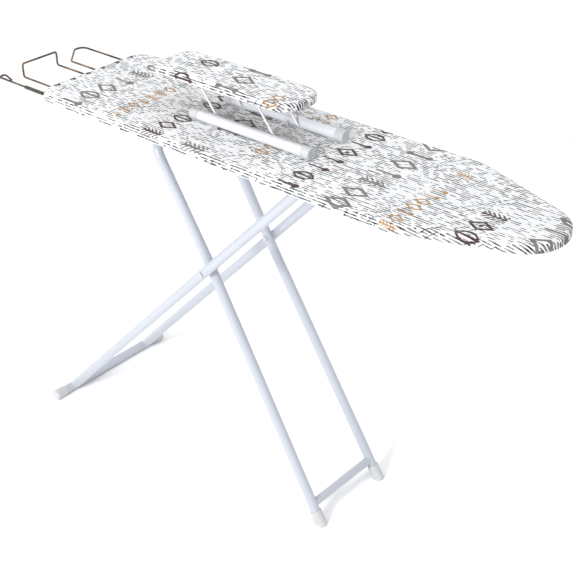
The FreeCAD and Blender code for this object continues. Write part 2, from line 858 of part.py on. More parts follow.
def cord_guide():
    """Wire arm with an open eye for the iron's lead, hinged on its own bent end."""
    tip = tail_x - guide_run
    inner_end = socket_centre + socket_width / 2 + 2 * wire_radius
    points = [
        point(guide_x, inner_end, wire_z),
        point(guide_x, guide_line, wire_z),
        point(tip, guide_line, wire_z),
        point(tip - guide_eye * 0.3, guide_line + guide_eye * 0.74, wire_z),
        point(tip + guide_eye * 1.3, guide_line + 3 * wire_radius, wire_z),
    ]
    bends = [wire_radius + running_clearance, guide_bend, guide_bend]
    return bar_along(points, bends, wire_radius)


def cord_guide_sleeve():
    end_x = guide_x - max(guide_bend, socket_hub_radius + guide_sleeve_gap)
    start = point(end_x - guide_sleeve_length, guide_line, wire_z)
    end = point(end_x, guide_line, wire_z)
    sleeve = rod(start, end, guide_sleeve_radius)
    sleeve = sleeve.makeFillet(1.2, [sleeve.Edges[0], sleeve.Edges[2]])
    return sleeve.cut(rod(start, end, wire_radius))


# ---- Sleeve board stand ----------------------------------------------------------------
stand_x = tail_x + stand_from_tail
rear_loop_x = stand_x + loop_rear_run
front_loop_x = rear_loop_x + loop_spacing
lean_run = (clip_axis_z - stand_z) * math.tan(math.radians(loop_lean))


def stand_tube(side):
    """Foot tube of the sleeve board's stand, drilled for the wire loops."""
    y = sleeve_centre + side * stand_half_spacing
    start = point(stand_x + cap_end_wall, y, stand_z)
    end = point(stand_x + stand_length - cap_end_wall, y, stand_z)
    tube = rod(start, end, stand_radius).cut(rod(start, end, stand_radius - leg_wall))
    for x in (rear_loop_x, front_loop_x):
        inside = point(x, sleeve_centre, stand_z)
        wall = point(x, y, stand_z)
        tube = tube.cut(rod(inside, wall, loop_wire_radius + running_clearance))
    return tube


def stand_cap(side, end):
    y = sleeve_centre + side * stand_half_spacing
    middle = stand_x + stand_length / 2
    half = stand_length / 2
    outside = point(middle + end * half, y, stand_z)
    inside = point(middle + end * (half - stand_cap_length), y, stand_z)
    bore_end = point(middle + end * (half - cap_end_wall), y, stand_z)
    cap = rod(inside, outside, stand_cap_radius)
    cap = cap.makeFillet(2.0, [cap.Edges[0], cap.Edges[2]])
    return cap.cut(rod(inside, bore_end, stand_radius))


def stand_cross_wire():
    x = stand_x + cross_wire_run
    reach = stand_half_spacing
    wire = rod(point(x, sleeve_centre - reach, stand_z), point(x, sleeve_centre + reach, stand_z),
               loop_wire_radius)
    for side in (-1, 1):
        y = sleeve_centre + side * stand_half_spacing
        wire = wire.cut(rod(point(stand_x, y, stand_z), point(stand_x + stand_length, y, stand_z), stand_radius))
    return wire


def sleeve_loop(x):
    """Wire loop: pins in the foot tubes, two legs, and a top bar in the sleeve board's clips."""
    half = loop_half_width
    pin_end = stand_half_spacing - stand_radius + loop_pin_depth
    top_x = x - lean_run
    points = [
        point(x, sleeve_centre - pin_end, stand_z),
        point(x, sleeve_centre - half, stand_z),
        point(top_x, sleeve_centre - half, clip_axis_z),
        point(top_x, sleeve_centre + half, clip_axis_z),
        point(x, sleeve_centre + half, stand_z),
        point(x, sleeve_centre + pin_end, stand_z),
    ]
    foot_bend = loop_wire_radius + running_clearance
    return bar_along(points, [foot_bend, loop_bend, loop_bend, foot_bend], loop_wire_radius)


def clip_screw_places(x):
    reach = loop_wire_radius + running_clearance + clip_sheet + clip_foot / 2
    return [
        (x + end * reach, sleeve_centre + side * clip_half_spacing)
        for side in (-1, 1) for end in (-1, 1)
    ]


def clip_tops():
    return [rear_loop_x - lean_run, front_loop_x - lean_run]


def sleeve_clip(x, side):
    y = sleeve_centre + side * clip_half_spacing
    bore = loop_wire_radius + running_clearance
    clip = saddle(x, y, clip_axis_z, bore, clip_sheet, clip_width, clip_foot, sleeve_under)
    return clip.cut(pin_holes(clip_screw_places(x), screw_radius))


def sleeve_screws():
    head_z = sleeve_under - clip_sheet
    tip_z = sleeve_under + sleeve_core_thickness * 0.7
    return Part.makeCompound([
        headed_pin(px, py, head_z, tip_z, screw_radius, screw_head_radius, screw_head_height)
        for x in clip_tops() for px, py in clip_screw_places(x)
    ])


def sleeve_core():
    core = plate(sleeve_corners, cover_thickness, sleeve_under, sleeve_core_top)
    depth = sleeve_core_thickness * 0.7
    pilots = [
        Part.makeCylinder(screw_radius, depth, point(px, py, sleeve_under))
        for x in clip_tops() for px, py in clip_screw_places(x)
    ]
    return core.cut(Part.makeCompound(pilots))


# ---- Write every piece -----------------------------------------------------------------
def pieces():
    both = (("right", -1), ("left", 1))
    yield "mesh_pan", mesh_pan()
    yield "felt_pad", plate(board_corners, cover_thickness, pan_top, pad_top)
    yield "board_cover", fabric_cover(board_corners, cover_bottom, board_height, hem_width)
    elastic_inset = hem_width + elastic_radius + cover_thickness / 4
    yield "hem_elastic", elastic_loop(board_corners, elastic_inset, rim_bottom, elastic_radius)
    for name, side in both:
        yield "stiffener_" + name, stiffener(side)
        yield "pivot_bracket_" + name, pivot_bracket(side)
        yield "rack_" + name, rack(side)
        yield "inner_leg_" + name, inner_leg(side)
        yield "inner_foot_cap_" + name, inner_foot_cap(side)
        yield "outer_leg_" + name, outer_leg(side)
        yield "outer_foot_cap_" + name, outer_foot_cap(side)
        yield "stand_tube_" + name, stand_tube(side)
    yield "bracket_rivets", small_rivets(bracket_places(), bracket_sheet)
    yield "rack_rivets", small_rivets(rack_places(), rack_sheet)
    yield "inner_pivot_bar", inner_pivot_bar()
    yield "inner_spreader", inner_spreader()
    yield "crossing_rivets", Part.makeCompound([crossing_rivet(side) for name, side in both])
    yield "crossing_spacers", Part.makeCompound([crossing_spacer(side) for name, side in both])
    yield "outer_foot_bar", outer_foot_bar()
    yield "outer_top_bar", outer_top_bar()
    yield "top_bar_bushes", Part.makeCompound([bar_bush(side) for name, side in both])
    yield "lever_shaft", lever_shaft()
    yield "lever_pawls", Part.makeCompound([pawl(side) for name, side in both])
    yield "lever_handle", lever_handle()
    yield "lever_grip", lever_grip()
    yield "lever_spring", lever_spring()
    yield "rest_rail", rest_rail()
    yield "rest_clamp", rest_clamp()
    yield "rest_screws", rest_screws()
    yield "rest_stop_wire", rest_stop_wire()
    yield "rest_loop_wire", rest_loop_wire()
    yield "guide_socket", guide_socket()
    yield "cord_guide", cord_guide()
    yield "cord_guide_sleeve", cord_guide_sleeve()
    yield "stand_cross_wire", stand_cross_wire()
    for name, side in both:
        for end_name, end in (("rear", -1), ("front", 1)):
            yield "stand_cap_" + end_name + "_" + name, stand_cap(side, end)
    yield "sleeve_loop_rear", sleeve_loop(rear_loop_x)
    yield "sleeve_loop_front", sleeve_loop(front_loop_x)
    clips = [sleeve_clip(x, side) for x in clip_tops() for name, side in both]
    yield "sleeve_clips", Part.makeCompound(clips)
    yield "sleeve_screws", sleeve_screws()
    yield "sleeve_core", sleeve_core()
    yield "sleeve_pad", plate(sleeve_corners, cover_thickness, sleeve_core_top, sleeve_pad_top)
    yield "sleeve_cover", fabric_cover(sleeve_corners, sleeve_cover_bottom, sleeve_height, sleeve_hem)
    elastic_inset = sleeve_hem + sleeve_elastic_radius + cover_thickness / 4
    elastic_z = sleeve_under - sleeve_elastic_radius - cover_thickness / 8
    yield "sleeve_elastic", elastic_loop(sleeve_corners, elastic_inset, elastic_z, sleeve_elastic_radius)


os.makedirs("parts", exist_ok=True)
for node, shape in pieces():
    shape.exportStep(os.path.join("parts", node + ".step"))
    print(f"{node:22s} {len(shape.Solids)} solids, valid {shape.isValid()}, volume {shape.Volume:.0f}")

print(f"pivot ({pivot_x:.2f}, {pivot_z:.2f}), crossing ({crossing_x:.2f}, {crossing_height:.2f})")
print(f"fold {fold_angle():.2f} degrees, crossing ratio {crossing_ratio:.4f}")
print(f"top bar from {bar_path[0]} to {bar_path[-1]}, slot {slot_bottom:.2f} to {slot_top:.2f}")
print(f"lever shaft ({shaft_x:.2f}, {shaft_z:.2f}), cord guide pivot ({guide_x:.2f}, {wire_z:.2f})")
print(f"sleeve loops at {rear_loop_x:.2f} and {front_loop_x:.2f}, {stand_z:.2f} up, tops {clip_axis_z:.2f}")
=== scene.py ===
import json
import math

import bpy
import numpy as np
from mathutils import Matrix, Vector, noise


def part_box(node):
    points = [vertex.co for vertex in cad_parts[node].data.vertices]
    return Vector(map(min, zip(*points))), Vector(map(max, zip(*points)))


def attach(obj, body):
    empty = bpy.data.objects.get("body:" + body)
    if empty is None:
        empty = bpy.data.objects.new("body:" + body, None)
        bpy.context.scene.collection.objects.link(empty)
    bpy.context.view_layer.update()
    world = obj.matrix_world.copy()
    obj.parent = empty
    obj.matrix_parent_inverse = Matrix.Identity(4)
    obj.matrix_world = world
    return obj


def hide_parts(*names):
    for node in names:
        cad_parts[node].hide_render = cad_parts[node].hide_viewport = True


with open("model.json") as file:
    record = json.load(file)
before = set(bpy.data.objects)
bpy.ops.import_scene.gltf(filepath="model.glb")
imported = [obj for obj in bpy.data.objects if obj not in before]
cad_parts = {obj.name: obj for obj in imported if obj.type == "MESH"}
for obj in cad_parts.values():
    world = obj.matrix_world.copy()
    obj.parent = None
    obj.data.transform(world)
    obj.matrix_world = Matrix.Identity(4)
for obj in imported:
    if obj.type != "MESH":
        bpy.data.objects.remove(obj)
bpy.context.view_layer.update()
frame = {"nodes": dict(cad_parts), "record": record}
nodes = frame["nodes"]
MM = 0.001

# Where the camera stands, in metres, and how it is turned, in degrees.
CAMERA_PLACE = (1.5825, -1.688, 1.878)
CAMERA_YAW, CAMERA_PITCH, CAMERA_ROLL = 41.93, 31.32, -1.19
CAMERA_LENS = 76.96
SENSOR_WIDTH = 36
FLOOR_SIZE = 60
FLOOR_DROP = 0.5 * MM

# The printed pattern, in millimetres of flat cloth.
REPEAT = 370.0
STROKE = 3.0
PEN_PITCH = 6.4
PEN_REACH = 17.0
RULED_REACH = 40.0
FLOURISH_PITCH = 14.0
FLOURISH_REACH = 9.0
FLOURISH_LEAN = 57
THREAD_PITCH = 0.7

# The sewn covers and their pads.
CLOTH_THICKNESS = 0.6 * MM
EDGE_ROLL = 9 * MM
EDGE_DROP = 6 * MM
HEM_TURN = 1.6 * MM
SIDE_PINCH = 0.5 * MM
DEEPEST_SAG = 0.5 * MM
SIDE_REACH = 14 * MM
BOARD_HEM = 23 * MM
BOARD_GATHER = 1.0 * MM
BOARD_CASING_INSET = 25.7 * MM
BOARD_CASING_LIFT = 2.0 * MM
BOARD_CASING_RADIUS = 1.9 * MM
SLEEVE_HEM = 7.6 * MM
SLEEVE_GATHER = 0.3 * MM
SLEEVE_CASING_INSET = 9.2 * MM
SLEEVE_CASING_LIFT = 1.8 * MM
SLEEVE_CASING_RADIUS = 1.5 * MM
GATHER_LENGTHS = (0.0171, 0.0263, 0.0407)
FRAY_LENGTHS = (0.006, 0.0113, 0.021)
PAD_CROWN = 5 * MM
PAD_INSET = 1.5 * MM
PAD_LIFT = 0.05 * MM
PAD_ROOM = 0.6 * MM
PAD_SWELL = 0.3 * MM
PAD_FRAY = 0.4 * MM
STITCH_INSET = 21 * MM
STITCH_PITCH = 4.2 * MM
STITCH_THREAD = 0.28 * MM
STITCH_DROP = 0.1 * MM
STITCH_GATHER = 0.85 * MM

# How many quads fill each sheet and pad, along and across.
COVER_GRID = (230, 60)
PAD_GRID = (160, 44)
SLEEVE_COVER_GRID = (130, 34)
SLEEVE_PAD_GRID = (90, 22)

# The release lever's spring and grip.
SPRING_WIRE = 0.95 * MM
SPRING_TURNS = 8
SPRING_LEG = 15 * MM
SPRING_ROOM = 0.5 * MM
GRIP_BORE = 3.05 * MM
GRIP_GROOVE = 0.8 * MM
GRIP_PITCH = 6.5 * MM
GRIP_DOME = 5 * MM
GRIP_STEPS = 40


# ---- Camera, floor and light ---------------------------------------------------------
def set_camera():
    """Three-quarter view from the near side, a little above the board."""
    yaw, pitch, roll = (math.radians(angle) for angle in (CAMERA_YAW, CAMERA_PITCH, CAMERA_ROLL))
    ahead = Vector((-math.sin(yaw) * math.cos(pitch), math.cos(yaw) * math.cos(pitch), -math.sin(pitch)))
    level = ahead.cross(Vector((0, 0, 1))).normalized()
    lift = level.cross(ahead)
    right = math.cos(roll) * level + math.sin(roll) * lift
    top = right.cross(ahead)
    data = bpy.data.cameras.new("camera")
    data.sensor_width = SENSOR_WIDTH
    data.lens = CAMERA_LENS
    data.clip_end = 50
    camera = bpy.data.objects.new("camera", data)
    bpy.context.scene.collection.objects.link(camera)
    turn = Matrix((right, top, -ahead)).transposed().to_4x4()
    camera.matrix_world = Matrix.Translation(CAMERA_PLACE) @ turn
    bpy.context.scene.camera = camera


def set_floor():
    """Pale plain paper, so low that no foot sinks into it."""
    bpy.ops.object.select_all(action="DESELECT")
    bpy.ops.mesh.primitive_plane_add(size=FLOOR_SIZE, location=(0, 0, -FLOOR_DROP))
    floor = bpy.context.object
    floor.name = "studio_floor"
    floor.data.materials.append(studio_paper())


def add_lamp(name, place, target, size, power):
    """A round soft box that points at a place."""
    data = bpy.data.lights.new(name, "AREA")
    data.shape = "DISK"
    data.size = size
    data.energy = power
    lamp = bpy.data.objects.new(name, data)
    bpy.context.scene.collection.objects.link(lamp)
    place = Vector(place)
    lamp.location = place
    lamp.rotation_mode = "QUATERNION"
    lamp.rotation_quaternion = (Vector(target) - place).to_track_quat("-Z", "Y")


def set_light():
    """A bright even room with one soft box in front and a weak one at the tail."""
    world = bpy.data.worlds.new("soft_room")
    world.use_nodes = True
    backdrop = world.node_tree.nodes["Background"]
    backdrop.inputs["Color"].default_value = (0.99, 0.995, 1.0, 1)
    backdrop.inputs["Strength"].default_value = 1.0
    bpy.context.scene.world = world
    bpy.context.scene.view_settings.view_transform = "Standard"
    add_lamp("key_lamp", place=(0.2, -3.1, 2.0), target=(0, 0, 0.75), size=0.9, power=88)
    add_lamp("side_lamp", place=(-2.6, -1.2, 2.4), target=(0, 0, 0.6), size=1.2, power=6)


# ---- Recipes for finishes --------------------------------------------------------------
class Recipe:
    """A material, with short ways to add its nodes."""

    def __init__(self, name):
        self.material = bpy.data.materials.new(name)
        self.material.use_nodes = True
        self.tree = self.material.node_tree
        self.shader = self.tree.nodes["Principled BSDF"]

    def link(self, value, socket):
        if isinstance(value, bpy.types.NodeSocket):
            self.tree.links.new(value, socket)
        else:
            socket.default_value = value

    def calc(self, operation, *values):
        node = self.tree.nodes.new("ShaderNodeMath")
        node.operation = operation
        for value, socket in zip(values, node.inputs):
            self.link(value, socket)
        return node.outputs[0]

    def place(self, x, y, z=0.0):
        node = self.tree.nodes.new("ShaderNodeCombineXYZ")
        for value, socket in zip((x, y, z), node.inputs):
            self.link(value, socket)
        return node.outputs[0]

    def grain(self, at, scale, detail=2.0, roughness=0.5):
        node = self.tree.nodes.new("ShaderNodeTexNoise")
        self.link(at, node.inputs["Vector"])
        node.inputs["Scale"].default_value = scale
        node.inputs["Detail"].default_value = detail
        node.inputs["Roughness"].default_value = roughness
        return node.outputs["Fac"]

    def cells(self, at, scale):
        node = self.tree.nodes.new("ShaderNodeTexVoronoi")
        self.link(at, node.inputs["Vector"])
        node.inputs["Scale"].default_value = scale
        return node.outputs["Distance"]

    def chance(self, at):
        node = self.tree.nodes.new("ShaderNodeTexWhiteNoise")
        self.link(at, node.inputs["Vector"])
        return node.outputs["Value"]

    def stretch(self, value, low, high, new_low=0.0, new_high=1.0):
        node = self.tree.nodes.new("ShaderNodeMapRange")
        for given, socket in zip((value, low, high, new_low, new_high), node.inputs):
            self.link(given, socket)
        return node.outputs["Result"]

    def tint(self, share, under, over):
        node = self.tree.nodes.new("ShaderNodeMix")
        node.data_type = "RGBA"
        self.link(share, node.inputs["Factor"])
        self.link(under, node.inputs["A"])
        self.link(over, node.inputs["B"])
        return node.outputs["Result"]

    def object_place(self):
        return self.tree.nodes.new("ShaderNodeTexCoord").outputs["Object"]

    def relief(self, height, distance, strength=1.0):
        node = self.tree.nodes.new("ShaderNodeBump")
        node.inputs["Strength"].default_value = strength
        node.inputs["Distance"].default_value = distance
        self.link(height, node.inputs["Height"])
        self.tree.links.new(node.outputs["Normal"], self.shader.inputs["Normal"])

    def set(self, **values):
        for name, value in values.items():
            self.link(value, self.shader.inputs[name.replace("_", " ")])


def colour(red, green, blue):
    return (red, green, blue, 1.0)


def studio_paper():
    """Matt white backdrop paper."""
    paper = Recipe("studio_paper")
    shade = paper.grain(paper.object_place(), 0.6)
    body = paper.tint(shade, colour(0.95, 0.955, 0.96), colour(0.965, 0.965, 0.97))
    paper.set(Base_Color=body, Roughness=0.95)
    paper.shader.inputs["Specular IOR Level"].default_value = 0.1
    return paper.material


def powder_coat(name, light, dark, roughness):
    """Gloss powder coat over steel: faint orange peel and a slow drift in tone."""
    coat = Recipe(name)
    at = coat.object_place()
    drift = coat.stretch(coat.grain(at, 3, 1), 0.3, 0.7)
    coat.set(Base_Color=coat.tint(drift, light, dark), Coat_Weight=0.6, Coat_Roughness=0.12)
    haze = coat.grain(at, 60)
    coat.set(Roughness=coat.stretch(haze, 0.3, 0.7, roughness - 0.02, roughness + 0.03))
    coat.relief(coat.grain(at, 420, 1), 0.00002, 0.1)
    return coat.material


def bright_wire():
    """Bronze-tinted wire: golden to dark brown along its length, with fine draw lines."""
    wire = Recipe("bronze_wire")
    at = wire.object_place()
    patch = wire.stretch(wire.grain(at, 16, 3), 0.42, 0.66)
    wire.set(Base_Color=wire.tint(patch, colour(0.05, 0.034, 0.028), colour(0.26, 0.17, 0.1)))
    wire.set(Metallic=0.85, Roughness=wire.stretch(wire.grain(at, 300), 0.3, 0.7, 0.22, 0.38))
    wire.relief(wire.grain(at, 900, 1), 0.0001, 0.25)
    return wire.material


def zinc_plate():
    """Galvanised steel with its spangle."""
    zinc = Recipe("zinc_plate")
    at = zinc.object_place()
    spangle = zinc.cells(at, 320)
    zinc.set(Base_Color=zinc.tint(spangle, colour(0.5, 0.52, 0.55), colour(0.72, 0.73, 0.74)))
    zinc.set(Metallic=0.9, Roughness=zinc.stretch(zinc.grain(at, 160), 0.3, 0.7, 0.28, 0.48))
    zinc.relief(zinc.grain(at, 700, 2), 0.0001, 0.3)
    return zinc.material


def moulded_plastic(name, light, dark, roughness, glow):
    """Injection-moulded plastic with a fine spark-eroded texture and scuffs."""
    plastic = Recipe(name)
    at = plastic.object_place()
    cloud = plastic.stretch(plastic.grain(at, 45, 3), 0.35, 0.65)
    plastic.set(Base_Color=plastic.tint(cloud, light, dark), Subsurface_Weight=glow, Subsurface_Scale=0.004)
    scuff = plastic.grain(at, 260)
    plastic.set(Roughness=plastic.stretch(scuff, 0.3, 0.7, roughness - 0.07, roughness + 0.09))
    plastic.relief(plastic.grain(at, 1500, 1), 0.00008, 0.5)
    return plastic.material


def needle_felt():
    """Grey recycled felt with darker flecks."""
    felt = Recipe("needle_felt")
    at = felt.object_place()
    fibres = felt.grain(at, 900, 4, 0.7)
    flecks = felt.stretch(felt.cells(at, 420), 0.05, 0.5)
    body = felt.tint(fibres, colour(0.44, 0.43, 0.41), colour(0.66, 0.65, 0.62))
    felt.set(Base_Color=felt.tint(flecks, colour(0.3, 0.32, 0.37), body), Roughness=0.97, Sheen_Weight=0.4)
    felt.relief(fibres, 0.0006, 0.9)
    return felt.material


def pressed_board():
    """Brown hardboard with short pressed fibres."""
    board = Recipe("pressed_hardboard")
    at = board.object_place()
    fibres = board.grain(at, 700, 5, 0.75)
    body = board.tint(fibres, colour(0.17, 0.1, 0.06), colour(0.34, 0.22, 0.13))
    board.set(Base_Color=body, Roughness=board.stretch(fibres, 0.3, 0.7, 0.5, 0.75))
    board.relief(fibres, 0.0003, 0.6)
    return board.material


# ---- Printed cotton ---------------------------------------------------------------------
MAROON = colour(0.05, 0.02, 0.022)
SLATE = colour(0.14, 0.128, 0.12)
OCHRE = colour(0.37, 0.205, 0.08)
INK = colour(0.03, 0.03, 0.034)


def row_of(cotton, value, start, pitch):
    """Which row a place is in, and how far it is from the row's middle."""
    scaled = cotton.calc("DIVIDE", cotton.calc("SUBTRACT", value, start), pitch)
    number = cotton.calc("FLOOR", scaled)
    off_middle = cotton.calc("SUBTRACT", cotton.calc("FRACT", scaled), 0.5)
    return number, cotton.calc("MULTIPLY", off_middle, pitch)


def within(cotton, value, limit):
    """1 where a value lies less than a limit either side of nothing."""
    return cotton.calc("LESS_THAN", cotton.calc("ABSOLUTE", value), limit)


def both(cotton, first, second):
    return cotton.calc("MULTIPLY", first, second)


def either(cotton, *shares):
    result = shares[0]
    for share in shares[1:]:
        result = cotton.calc("MAXIMUM", result, share)
    return result


def abstract_marks(cotton, along, across):
    """Six plain ornaments about (0, 0).

    They are a leaf, a lozenge, a dotted lozenge, a bead on a bar, a dumb-bell and a feather.
    """
    long_part = cotton.calc("ABSOLUTE", along)
    wide_part = cotton.calc("ABSOLUTE", across)

    def disc(away, size):
        reach = cotton.calc("ADD", cotton.calc("MULTIPLY", away, away),
                            cotton.calc("MULTIPLY", across, across))
        return cotton.calc("LESS_THAN", reach, size * size)

    long_bar = cotton.calc("LESS_THAN", long_part, 26.0)
    spine = both(cotton, within(cotton, across, STROKE * 0.85), long_bar)
    belly = cotton.calc("MULTIPLY", cotton.calc("MULTIPLY", along, along), 0.024)
    side = cotton.calc("ADD", cotton.calc("SUBTRACT", wide_part, 13.5), belly)
    leaf = both(cotton, either(cotton, within(cotton, side, STROKE), spine), long_bar)
    slope = cotton.calc("ADD", cotton.calc("MULTIPLY", long_part, 0.62), wide_part)
    lozenge = within(cotton, cotton.calc("SUBTRACT", slope, 14.5), STROKE * 1.15)
    dotted = either(cotton, lozenge, disc(along, 4.2))
    beaded = either(cotton, spine, disc(cotton.calc("SUBTRACT", along, 17.0), 7.5))
    dumb_bell = either(cotton, spine, disc(cotton.calc("SUBTRACT", long_part, 20.0), 6.5))
    barb_run = cotton.calc("DIVIDE", cotton.calc("ADD", along, wide_part), 10.5)
    barbs = cotton.calc("LESS_THAN", cotton.calc("FRACT", barb_run), 0.42)
    blade = both(cotton, cotton.calc("LESS_THAN", wide_part, 13.0), long_bar)
    feather = either(cotton, spine, both(cotton, barbs, blade))
    return [leaf, lozenge, dotted, beaded, dumb_bell, feather]


def mark_column(cotton, u, v, start, row_start, pitch, size, seed, blanks):
    """One colour's column of marks, which comes again at each repeat of the cloth."""
    repeat, along = row_of(cotton, u, start - REPEAT / 2, REPEAT)
    row, across = row_of(cotton, v, row_start, pitch)
    draw = cotton.chance(cotton.place(row, repeat, seed))
    marks = abstract_marks(cotton, cotton.calc("DIVIDE", along, size), cotton.calc("DIVIDE", across, size))
    share = 0.0
    width = (1.0 - blanks) / len(marks)
    for index, mark in enumerate(marks):
        chosen = within(cotton, cotton.calc("SUBTRACT", draw, width * (index + 0.5)), width / 2)
        share = either(cotton, share, both(cotton, chosen, mark))
    return share


def pen_rows(cotton, u, v, pitch, reach, thickness, gaps):
    """Rows of broken pen strokes along the cloth, a little unsteady, with no letters in them."""
    row, across = row_of(cotton, v, 0.0, pitch)
    shift = cotton.calc("MULTIPLY", row, 7.31)
    pen = cotton.place(cotton.calc("DIVIDE", u, reach * 2), shift, 0.0)
    wander = cotton.calc("MULTIPLY", cotton.calc("SUBTRACT", cotton.grain(pen, 1.0, 1), 0.5), pitch * 0.4)
    dashes = cotton.grain(cotton.place(cotton.calc("DIVIDE", u, reach), shift, 9.0), 1.0, 1.5, 0.4)
    swell = cotton.stretch(cotton.calc("SUBTRACT", dashes, gaps), 0.0, 0.05)
    off_line = cotton.calc("ABSOLUTE", cotton.calc("SUBTRACT", across, wander))
    return cotton.calc("LESS_THAN", off_line, cotton.calc("MULTIPLY", swell, thickness))


def printed_cotton():
    """White cotton printed with rows of pen strokes and columns of ornaments in three colours."""
    cotton = Recipe("printed_cotton")
    cloth_map = cotton.tree.nodes.new("ShaderNodeUVMap")
    cloth_map.uv_map = "cloth"
    parts = cotton.tree.nodes.new("ShaderNodeSeparateXYZ")
    cotton.link(cloth_map.outputs["UV"], parts.inputs[0])
    u = cotton.calc("MULTIPLY", parts.outputs[0], 1000.0)
    v = cotton.calc("MULTIPLY", parts.outputs[1], 1000.0)
    flat = cotton.place(u, v)

    bleed = cotton.calc("MULTIPLY", cotton.calc("SUBTRACT", cotton.grain(flat, 0.5, 2), 0.5), 2.2)
    inked_u = cotton.calc("ADD", u, bleed)
    inked_v = cotton.calc("ADD", v, cotton.calc("MULTIPLY", bleed, 0.6))
    maroon = mark_column(cotton, inked_u, inked_v, start=205.0, row_start=-170.0, pitch=44.0,
                         size=1.0, seed=3.0, blanks=0.1)
    slate = mark_column(cotton, inked_u, inked_v, start=325.0, row_start=-172.0, pitch=50.0,
                        size=1.15, seed=11.0, blanks=0.1)
    ochre = mark_column(cotton, inked_u, inked_v, start=443.0, row_start=-171.0, pitch=27.0,
                        size=0.68, seed=26.0, blanks=0.45)

    edge = cotton.tree.nodes.new("ShaderNodeAttribute")
    edge.attribute_name = "side"
    crowd = cotton.calc("ADD", cotton.stretch(cotton.grain(flat, 0.012, 2), 0.4, 0.62), edge.outputs["Fac"])
    gaps = cotton.calc("SUBTRACT", 0.505, cotton.calc("MULTIPLY", crowd, 0.055))
    heavy = cotton.calc("ADD", 1.3, cotton.calc("MULTIPLY", crowd, 0.45))
    fine = pen_rows(cotton, u, v, PEN_PITCH, PEN_REACH, heavy, gaps)
    ruled = pen_rows(cotton, u, v, PEN_PITCH, RULED_REACH, thickness=1.1, gaps=0.4)
    lean = math.radians(FLOURISH_LEAN)
    run = cotton.calc("ADD", cotton.calc("MULTIPLY", u, math.cos(lean)),
                      cotton.calc("MULTIPLY", v, math.sin(lean)))
    rise = cotton.calc("SUBTRACT", cotton.calc("MULTIPLY", v, math.cos(lean)),
                       cotton.calc("MULTIPLY", u, math.sin(lean)))
    pen_run = cotton.grain(cotton.place(u, v, 40.0), 0.016, 0)
    slanted = pen_rows(cotton, run, rise, FLOURISH_PITCH, FLOURISH_REACH, thickness=1.2, gaps=0.45)
    flourish = both(cotton, slanted, cotton.calc("GREATER_THAN", pen_run, 0.62))

    weave = 2 * math.pi / THREAD_PITCH
    thread = cotton.calc("MULTIPLY", cotton.calc("SINE", cotton.calc("MULTIPLY", u, weave)),
                         cotton.calc("SINE", cotton.calc("MULTIPLY", v, weave)))
    yarn = cotton.place(cotton.calc("MULTIPLY", u, 0.12), cotton.calc("MULTIPLY", v, 1.6))
    slub = cotton.grain(yarn, 1.0, 3)
    bleached = cotton.tint(cotton.stretch(cotton.grain(flat, 0.02, 2), 0.35, 0.65),
                           colour(0.77, 0.78, 0.795), colour(0.82, 0.825, 0.83))
    ground = cotton.tint(cotton.stretch(slub, 0.3, 0.7, 0.0, 0.3), bleached, colour(0.68, 0.69, 0.72))
    tone = cotton.stretch(cotton.grain(flat, 0.07, 1), 0.35, 0.65, 0.62, 1.0)
    face = cotton.tint(cotton.calc("MULTIPLY", ruled, 0.16), ground, INK)
    face = cotton.tint(both(cotton, fine, tone), face, INK)
    face = cotton.tint(cotton.calc("MULTIPLY", flourish, 0.8), face, INK)
    face = cotton.tint(cotton.calc("MULTIPLY", slate, 0.92), face, SLATE)
    face = cotton.tint(cotton.calc("MULTIPLY", maroon, 0.95), face, MAROON)
    face = cotton.tint(cotton.calc("MULTIPLY", ochre, 0.95), face, OCHRE)
    cotton.set(Base_Color=face, Roughness=0.86, Sheen_Weight=0.08, Sheen_Roughness=0.5)
    cotton.shader.inputs["Specular IOR Level"].default_value = 0.15
    cotton.relief(cotton.calc("ADD", cotton.calc("MULTIPLY", thread, 0.5), slub), 0.00012, 0.6)
    return cotton.material


# ---- Outlines of the two boards -----------------------------------------------------------
def arc_points(corner, before, after, radius, steps):
    """Points and outward normals round one corner of an outline drawn anticlockwise."""
    inward = (corner - before).normalized()
    outward = (after - corner).normalized()
    half_turn = inward.angle(outward) / 2
    centre = corner + (outward - inward).normalized() * radius / math.cos(half_turn)
    first = math.atan2(-inward.x, inward.y)
    result = []
    for step in range(steps + 1):
        angle = first + 2 * half_turn * step / steps
        normal = Vector((math.cos(angle), math.sin(angle)))
        result.append((centre + normal * radius, normal))
    return result


class Outline:
    """A closed board outline that can be read by distance along it."""

    def __init__(self, corners):
        spots = [Vector(corner[:2]) for corner in corners]
        points, normals = [], []
        for index, (x, y, radius) in enumerate(corners):
            after = spots[(index + 1) % len(spots)]
            for point, normal in arc_points(spots[index], spots[index - 1], after, radius, 48):
                points.append(point)
                normals.append(normal)
        self.points = np.array(points + points[:1])
        self.normals = np.array(normals + normals[:1])
        gaps = np.linalg.norm(np.diff(self.points, axis=0), axis=1)
        self.along = np.concatenate([[0], np.cumsum(gaps)])
        self.length = self.along[-1]

    def facing(self, degrees):
        """Distance along the outline at which it faces a direction."""
        aim = np.array([math.cos(math.radians(degrees)), math.sin(math.radians(degrees))])
        return self.along[int((self.normals @ aim)[:-1].argmax())]

    def at(self, distance):
        distance = np.mod(distance, self.length)
        point = np.stack([np.interp(distance, self.along, self.points[:, k]) for k in (0, 1)], axis=-1)
        normal = np.stack([np.interp(distance, self.along, self.normals[:, k]) for k in (0, 1)], axis=-1)
        return point, normal / np.linalg.norm(normal, axis=-1, keepdims=True)

    def bend(self, distance):
        """How sharply the outline turns near a place, from 0 on a straight side to 1 at a corner."""
        ahead = self.at(distance + 0.03)[1]
        behind = self.at(distance - 0.03)[1]
        turn = np.arccos(np.clip((ahead * behind).sum(-1), -1, 1))
        return np.clip(turn / 0.7, 0, 1)


